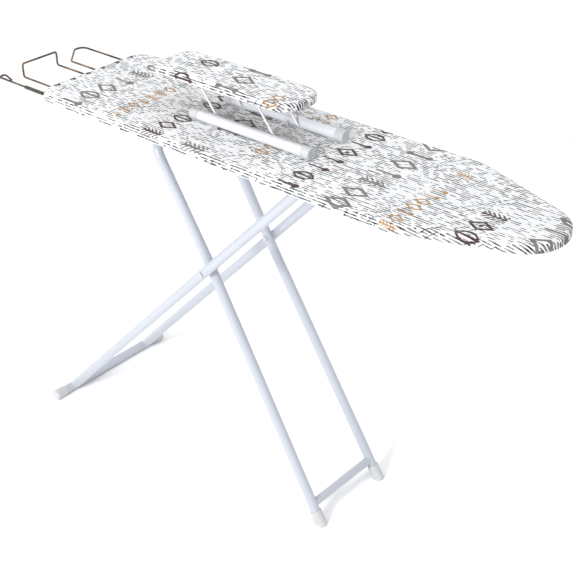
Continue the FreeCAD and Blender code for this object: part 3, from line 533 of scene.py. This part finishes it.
def board_outline():
    """The main board: square tail, straight sides and a tapered round nose."""
    low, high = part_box("board_cover")
    half = high.y
    nose, shoulder_bend, tail = 88 * MM, 150 * MM, 45 * MM
    slope = math.radians(20)
    apex = high.x - nose + nose / math.sin(slope)
    shoulder = apex - half / math.tan(slope)
    return Outline([
        (low.x, -half, tail), (shoulder, -half, shoulder_bend), (apex, 0.0, nose),
        (shoulder, half, shoulder_bend), (low.x, half, tail)])


def sleeve_outline():
    """The sleeve board: a long rectangle, rounder at its nose."""
    low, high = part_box("sleeve_cover")
    nose, tail = 50 * MM, 24 * MM
    return Outline([
        (low.x, low.y, tail), (high.x, low.y, nose), (high.x, high.y, nose), (low.x, high.y, tail)])


# ---- Sheets and pads ------------------------------------------------------------------------
def patch(outline, inset, grid_size):
    """A grid of quads that fills the outline, drawn in by an inset, and its rim in order."""
    columns, rows = grid_size
    starts = [outline.facing(angle) for angle in (225, 315, 45, 135)]
    ends = starts[1:] + starts[:1]
    counts = (columns, rows, columns, rows)
    sides = []
    for start, end, count in zip(starts, ends, counts):
        span = np.mod(end - start, outline.length)
        sides.append(start + span * np.linspace(0, 1, count + 1))

    def edge(distances):
        point, normal = outline.at(distances)
        return point - normal * inset

    near, front = edge(sides[0]), edge(sides[1])
    far, rear = edge(sides[2])[::-1], edge(sides[3])[::-1]
    s = np.linspace(0, 1, columns + 1)[None, :, None]
    t = np.linspace(0, 1, rows + 1)[:, None, None]
    grid = (1 - t) * near[None] + t * far[None] + (1 - s) * rear[:, None] + s * front[:, None]
    grid = grid - ((1 - s) * (1 - t) * near[0] + s * (1 - t) * near[-1]
                   + (1 - s) * t * far[0] + s * t * far[-1])
    number = np.arange(grid.shape[0] * grid.shape[1]).reshape(grid.shape[:2])
    rim = np.concatenate([number[0, :-1], number[:-1, -1], number[-1, :0:-1], number[:0:-1, 0]])
    rim_distance = np.concatenate([side[:-1] for side in sides])
    faces = np.stack([number[:-1, :-1], number[:-1, 1:], number[1:, 1:], number[1:, :-1]], axis=-1)
    return grid.reshape(-1, 2), faces.reshape(-1, 4), rim, rim_distance


def skirt_faces(rings):
    """Quads between one ring of vertices and the next."""
    faces = []
    for upper, lower in zip(rings, rings[1:]):
        faces.append(np.stack([upper, lower, np.roll(lower, -1), np.roll(upper, -1)], axis=-1))
    return np.concatenate(faces)


def make_mesh(name, points, faces, material, cloth=None, side=None):
    """A smooth piece from its points and faces, with the flat cloth's map and edge share if given."""
    mesh = bpy.data.meshes.new(name)
    mesh.from_pydata([tuple(p) for p in points], [], [tuple(int(i) for i in f) for f in faces])
    if cloth is not None:
        layer = mesh.uv_layers.new(name="cloth")
        corners = np.array([loop.vertex_index for loop in mesh.loops])
        layer.data.foreach_set("uv", cloth[corners].astype(np.float32).ravel())
    if side is not None:
        mesh.attributes.new("side", "FLOAT", "POINT").data.foreach_set("value", side.astype(np.float32))
    mesh.materials.append(material)
    mesh.polygons.foreach_set("use_smooth", [True] * len(mesh.polygons))
    mesh.update()
    piece = bpy.data.objects.new(name, mesh)
    bpy.context.scene.collection.objects.link(piece)
    return piece


def finish_with(piece, kind, **settings):
    """Adds a modifier and applies it."""
    modifier = piece.modifiers.new(kind.lower(), kind)
    for name, value in settings.items():
        setattr(modifier, name, value)
    bpy.ops.object.select_all(action="DESELECT")
    bpy.context.view_layer.objects.active = piece
    piece.select_set(True)
    bpy.ops.object.modifier_apply(modifier=modifier.name)


def waves(distance, lengths, phase):
    """A smooth, uneven ripple along an outline, from about -1 to 1."""
    total = sum(np.sin(2 * math.pi * distance / length + phase * (index + 1)) / (index + 1.4)
                for index, length in enumerate(lengths))
    return total / 1.6


def gathers(outline, distance):
    """The ripple of a gathered hem, strongest where the outline turns."""
    return waves(distance, GATHER_LENGTHS, 1.3) * (0.35 + 0.65 * outline.bend(distance))


def soft_relief(points, spread, phase):
    """Slow, smooth noise over flat points."""
    return np.array([noise.noise((x / spread, y / spread, phase)) for x, y in points])


def wrapped_cover(name, outline, top, side_low, hem, casing, gather, grid_size, material):
    """A fitted cloth cover: flat top, rolled edge, straight side, gathered hem and elastic casing."""
    profile = []
    for step in range(1, 9):
        angle = math.pi / 2 * step / 8
        profile.append((EDGE_ROLL * (1 - math.sin(angle)), top - EDGE_DROP * (1 - math.cos(angle)), 0.0))
    side_top = top - EDGE_DROP
    for step in range(1, 5):
        share = step / 4
        pinch = SIDE_PINCH * math.sin(math.pi * share)
        profile.append((pinch, side_top + (side_low + HEM_TURN - side_top) * share, 0.1))
    for step in range(1, 4):
        angle = math.pi / 2 * step / 3
        profile.append((HEM_TURN * (1 - math.cos(angle)), side_low + HEM_TURN * (1 - math.sin(angle)), 0.15))
    casing_inset, casing_z, casing_radius = casing
    for step in range(1, 7):
        share = step / 6
        inset = HEM_TURN + (hem - HEM_TURN) * share
        profile.append((inset, side_low, 0.15 + 0.85 * share))
    for step in range(1, 10):
        angle = -math.pi * 0.75 + math.pi * 2 * 0.82 * step / 9
        inset = casing_inset + casing_radius * math.cos(angle)
        profile.append((inset, casing_z + casing_radius * math.sin(angle), 0.8))

    flat, faces, rim, distance = patch(outline, EDGE_ROLL, grid_size)
    edge_point, normal = outline.at(distance)
    ripple = gathers(outline, distance)
    sag = np.clip(soft_relief(flat, 0.11, 2.0) + 0.3, 0, 1) * DEEPEST_SAG
    points = [np.column_stack([flat, top - sag])]
    cloth = [flat]
    side = [np.zeros(len(flat))]
    rings = [rim]
    count = len(flat)
    rim_sag = sag[rim]
    length = 0.0
    last = (EDGE_ROLL, top)
    for inset, z, looseness in profile:
        length += math.dist(last, (inset, z))
        last = (inset, z)
        level = z - rim_sag * max(0.0, 1 - (top - z) / EDGE_DROP) + gather * looseness * ripple
        drawn = inset + 0.3 * gather * looseness * ripple
        ring = edge_point - normal * drawn[:, None]
        points.append(np.column_stack([ring, level]))
        cloth.append(flat[rim] + normal * length)
        side.append(np.full(len(rim), min(1.0, length / SIDE_REACH)))
        rings.append(np.arange(count, count + len(rim)))
        count += len(rim)
    faces = np.concatenate([faces, skirt_faces(rings)])
    piece = make_mesh(name, np.concatenate(points), faces, material,
                      np.concatenate(cloth), np.concatenate(side))
    finish_with(piece, "SOLIDIFY", thickness=CLOTH_THICKNESS, offset=-1.0)
    return piece


def soft_pad(name, outline, low, high, grid_size, material):
    """A felt or foam pad: flat beneath, a soft crown at its edge, uneven like needled fibre."""
    flat, faces, rim, distance = patch(outline, PAD_INSET + PAD_CROWN, grid_size)
    edge_point, normal = outline.at(distance)
    swell = soft_relief(flat, 0.05, 7.0) * PAD_SWELL
    fray = PAD_FRAY * waves(distance, FRAY_LENGTHS, 0.7)
    top = np.column_stack([flat, high - 0.4 * MM + swell])
    bottom = np.column_stack([flat, np.full(len(flat), low)])
    points, count = [top], len(flat)
    rings = [rim]
    thickness = high - low
    for step in range(1, 10):
        angle = math.pi * step / 10
        reach = PAD_INSET + PAD_CROWN * (1 - math.sin(angle))
        level = (low + high) / 2 - 0.2 * MM + (thickness / 2 - 0.2 * MM) * math.cos(angle)
        ring = edge_point - normal * (reach + fray)[:, None]
        points.append(np.column_stack([ring, np.full(len(rim), level)]))
        rings.append(np.arange(count, count + len(rim)))
        count += len(rim)
    points.append(bottom)
    rings.append(rim + count)
    faces = np.concatenate([faces, skirt_faces(rings), faces[:, ::-1] + count])
    return make_mesh(name, np.concatenate(points), faces, material)


def stitch_line(name, outline, inset, z, pitch, gather, material):
    """Lock stitches round a hem, each a small spindle of thread."""
    count = int(outline.length / pitch)
    distance = np.arange(count) * outline.length / count
    edge_point, normal = outline.at(distance)
    along = np.column_stack([-normal[:, 1], normal[:, 0]])
    middle = edge_point - normal * inset
    level = z + gather * gathers(outline, distance)
    half, thick = 0.36 * pitch, STITCH_THREAD
    tips = ((-half, 0, 0), (0, thick, 0), (0, 0, thick), (0, -thick, 0), (0, 0, -thick), (half, 0, 0))
    points = []
    for shift, lift, side in tips:
        spot = middle + along * shift + normal * side
        points.append(np.column_stack([spot, level + lift]))
    points = np.stack(points, axis=1).reshape(-1, 3)
    spindle = np.array([
        (0, 2, 1), (0, 3, 2), (0, 4, 3), (0, 1, 4), (5, 1, 2), (5, 2, 3), (5, 3, 4), (5, 4, 1)])
    faces = (spindle[None] + 6 * np.arange(count)[:, None, None]).reshape(-1, 3)
    return make_mesh(name, points, faces, material)


# ---- Turned and coiled pieces -----------------------------------------------------------------
def start_edit(piece):
    """Opens a piece in edit mode, alone."""
    bpy.ops.object.select_all(action="DESELECT")
    bpy.context.view_layer.objects.active = piece
    piece.select_set(True)
    bpy.ops.object.mode_set(mode="EDIT")


def settle(piece):
    """Leaves edit mode and puts the piece's place into its mesh."""
    bpy.ops.object.mode_set(mode="OBJECT")
    bpy.ops.object.transform_apply(location=True, rotation=True, scale=True)


def turned(name, profile, start, axis, steps, material):
    """A lathe-turned piece: a profile of (distance along the axis, radius) spun about the axis."""
    axis = Vector(axis).normalized()
    across = axis.orthogonal().normalized()
    places = [Vector(start) + axis * along + across * radius for along, radius in profile]
    bpy.ops.object.select_all(action="DESELECT")
    bpy.ops.mesh.primitive_plane_add(size=MM, location=places[0])
    piece = bpy.context.object
    piece.name = name
    start_edit(piece)
    bpy.ops.mesh.select_all(action="SELECT")
    bpy.ops.mesh.merge(type="CENTER")
    for before, after in zip(places, places[1:]):
        bpy.ops.mesh.extrude_region_move(TRANSFORM_OT_translate={"value": after - before})
    bpy.ops.mesh.select_all(action="SELECT")
    bpy.ops.mesh.spin(steps=steps, angle=2 * math.pi, center=start, axis=axis)
    bpy.ops.mesh.select_all(action="SELECT")
    bpy.ops.mesh.remove_doubles(threshold=0.00002)
    bpy.ops.mesh.normals_make_consistent(inside=False)
    settle(piece)
    piece.data.materials.append(material)
    bpy.ops.object.shade_smooth_by_angle(angle=math.radians(40))
    return piece


def release_spring(material):
    """Torsion spring round the lever shaft, wound from one wire, with a straight leg at each end."""
    low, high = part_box("lever_spring")
    shaft_low, shaft_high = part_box("lever_shaft")
    radius = (shaft_high.z - shaft_low.z) / 2 + SPRING_ROOM + SPRING_WIRE
    pitch = (high.y - low.y - 2 * SPRING_WIRE) / SPRING_TURNS
    shaft = Vector(((shaft_low.x + shaft_high.x) / 2, low.y + SPRING_WIRE, (shaft_low.z + shaft_high.z) / 2))
    bpy.ops.object.select_all(action="DESELECT")
    bpy.ops.mesh.primitive_circle_add(vertices=10, radius=SPRING_WIRE, location=shaft)
    piece = bpy.context.object
    piece.name = "release_spring"
    start_edit(piece)
    bpy.ops.mesh.select_all(action="SELECT")
    bpy.ops.transform.rotate(value=math.pi / 2, orient_axis="Y", center_override=shaft)
    bpy.ops.transform.translate(value=(0, 0, -radius))
    bpy.ops.object.mode_set(mode="OBJECT")
    steps = 16 * SPRING_TURNS
    finish_with(piece, "SCREW", axis="Y", angle=-2 * math.pi * SPRING_TURNS,
                screw_offset=pitch * SPRING_TURNS, steps=steps, render_steps=steps,
                use_merge_vertices=False)
    start_edit(piece)
    bpy.ops.mesh.select_all(action="DESELECT")
    bpy.ops.mesh.select_non_manifold(extend=False)
    bpy.ops.object.mode_set(mode="OBJECT")
    middle = (low.y + high.y) / 2 - shaft.y
    for reach, wanted in ((-SPRING_LEG, lambda y: y < middle), (SPRING_LEG, lambda y: y > middle)):
        ends = [v.index for v in piece.data.vertices if v.select]
        chosen = [i for i in ends if wanted(piece.data.vertices[i].co.y)]
        start_edit(piece)
        bpy.ops.mesh.select_all(action="DESELECT")
        bpy.ops.object.mode_set(mode="OBJECT")
        for index in chosen:
            piece.data.vertices[index].select = True
        others = [i for i in ends if i not in chosen]
        start_edit(piece)
        bpy.ops.mesh.select_mode(type="VERT")
        bpy.ops.mesh.extrude_edges_move(TRANSFORM_OT_translate={"value": (reach, 0, 0)})
        bpy.ops.mesh.edge_face_add()
        bpy.ops.mesh.select_all(action="DESELECT")
        bpy.ops.object.mode_set(mode="OBJECT")
        for index in others:
            piece.data.vertices[index].select = True
    start_edit(piece)
    bpy.ops.mesh.select_all(action="SELECT")
    bpy.ops.mesh.normals_make_consistent(inside=False)
    settle(piece)
    piece.data.materials.append(material)
    bpy.ops.object.shade_smooth_by_angle(angle=math.radians(50))
    return piece


def ribbed_grip(material):
    """Moulded grip on the release arm, with rings for the fingers and a domed end."""
    low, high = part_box("lever_grip")
    middle = (low + high) / 2
    radius = (high.z - low.z) / 2
    floor = radius - GRIP_GROOVE
    length = high.x - low.x
    profile = [(0.0, GRIP_BORE), (0.0, radius - 1.5 * MM), (1.2 * MM, radius)]
    along = 6 * MM
    while along < length - 14 * MM:
        profile += [(along, radius), (along + 0.8 * MM, floor), (along + 2.2 * MM, floor),
                    (along + 3.0 * MM, radius)]
        along += GRIP_PITCH
    for step in range(5):
        angle = math.pi / 2 * step / 4
        dome = length - GRIP_DOME + GRIP_DOME * math.sin(angle)
        profile.append((dome, max(radius * math.cos(angle), 0.0)))
    start = (high.x, middle.y, middle.z)
    return turned("lever_finger_grip", profile, start, (-1, 0, 0), GRIP_STEPS, material)


# ---- Build --------------------------------------------------------------------------------------
set_camera()
set_floor()
set_light()

enamel = powder_coat("white_enamel", colour(0.41, 0.435, 0.49), colour(0.44, 0.46, 0.515), 0.3)
# A lighter copy of the same white enamel for the stand tubes: painted light, standing in for front light on
# the tubes in the shade under the sleeve board.
stand_enamel_painted_lighter = powder_coat("white_enamel_painted_lighter", colour(0.62, 0.64, 0.69), colour(0.65, 0.67, 0.71), 0.26)
painted_wire = powder_coat("white_painted_wire", colour(0.7, 0.72, 0.76), colour(0.74, 0.75, 0.79), 0.28)
bronze = bright_wire()
zinc = zinc_plate()
milky = moulded_plastic("milky_plastic", colour(0.46, 0.47, 0.48), colour(0.52, 0.53, 0.54), 0.45, 0.05)
grey = moulded_plastic("grey_nylon", colour(0.1, 0.1, 0.11), colour(0.15, 0.15, 0.16), 0.5, 0.0)
olive = moulded_plastic("olive_vinyl", colour(0.03, 0.035, 0.018), colour(0.06, 0.066, 0.036), 0.45, 0.0)
felt = needle_felt()
hardboard = pressed_board()
cotton = printed_cotton()
thread = moulded_plastic("white_thread", colour(0.7, 0.71, 0.74), colour(0.8, 0.8, 0.82), 0.8, 0.0)

FINISHES = {
    "white_enamel": enamel, "white_wire": painted_wire, "bronze_wire": bronze, "zinc_steel": zinc,
    "white_plastic": milky, "grey_plastic": grey, "needle_felt": felt, "hardboard": hardboard,
    "printed_cotton": cotton, "elastic_cord": thread, "olive_plastic": olive,
}
for part in frame["record"]["subparts"]:
    skins = nodes[part["node"]].data.materials
    skins.clear()
    # The stand tubes take the lighter enamel copy, which is painted light, not a different finish.
    on_stand = part["node"].startswith("stand_tube")
    skins.append(stand_enamel_painted_lighter if on_stand else FINISHES[part["material_slot"]])

board = board_outline()
cover_low, cover_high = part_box("board_cover")
elastic_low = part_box("hem_elastic")[0]
casing = (BOARD_CASING_INSET, elastic_low.z + BOARD_CASING_LIFT, BOARD_CASING_RADIUS)
cover = wrapped_cover("board_cover_cloth", board, cover_high.z, cover_low.z, BOARD_HEM, casing,
                      BOARD_GATHER, COVER_GRID, cotton)
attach(cover, "table")
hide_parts("board_cover", "hem_elastic")
stitches = stitch_line("cover_hem_stitches", board, STITCH_INSET, cover_low.z - STITCH_DROP,
                       STITCH_PITCH, STITCH_GATHER, thread)
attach(stitches, "table")

pad_low, pad_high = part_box("felt_pad")
pad = soft_pad("board_pad_felt", board, pad_low.z + PAD_LIFT, pad_high.z - PAD_ROOM, PAD_GRID, felt)
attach(pad, "table")
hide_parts("felt_pad")

sleeve = sleeve_outline()
sleeve_low, sleeve_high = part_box("sleeve_cover")
sleeve_elastic_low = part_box("sleeve_elastic")[0]
sleeve_casing = (SLEEVE_CASING_INSET, sleeve_elastic_low.z + SLEEVE_CASING_LIFT, SLEEVE_CASING_RADIUS)
sleeve_cover = wrapped_cover("sleeve_cover_cloth", sleeve, sleeve_high.z, sleeve_low.z, SLEEVE_HEM,
                             sleeve_casing, SLEEVE_GATHER, SLEEVE_COVER_GRID, cotton)
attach(sleeve_cover, "sleeve_board")
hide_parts("sleeve_cover", "sleeve_elastic")

sleeve_pad_low, sleeve_pad_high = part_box("sleeve_pad")
sleeve_pad = soft_pad("sleeve_pad_foam", sleeve, sleeve_pad_low.z + PAD_LIFT,
                      sleeve_pad_high.z - PAD_ROOM, SLEEVE_PAD_GRID, felt)
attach(sleeve_pad, "sleeve_board")
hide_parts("sleeve_pad")

spring = release_spring(zinc)
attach(spring, "release_lever")
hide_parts("lever_spring")

grip = ribbed_grip(grey)
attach(grip, "release_lever")
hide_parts("lever_grip")
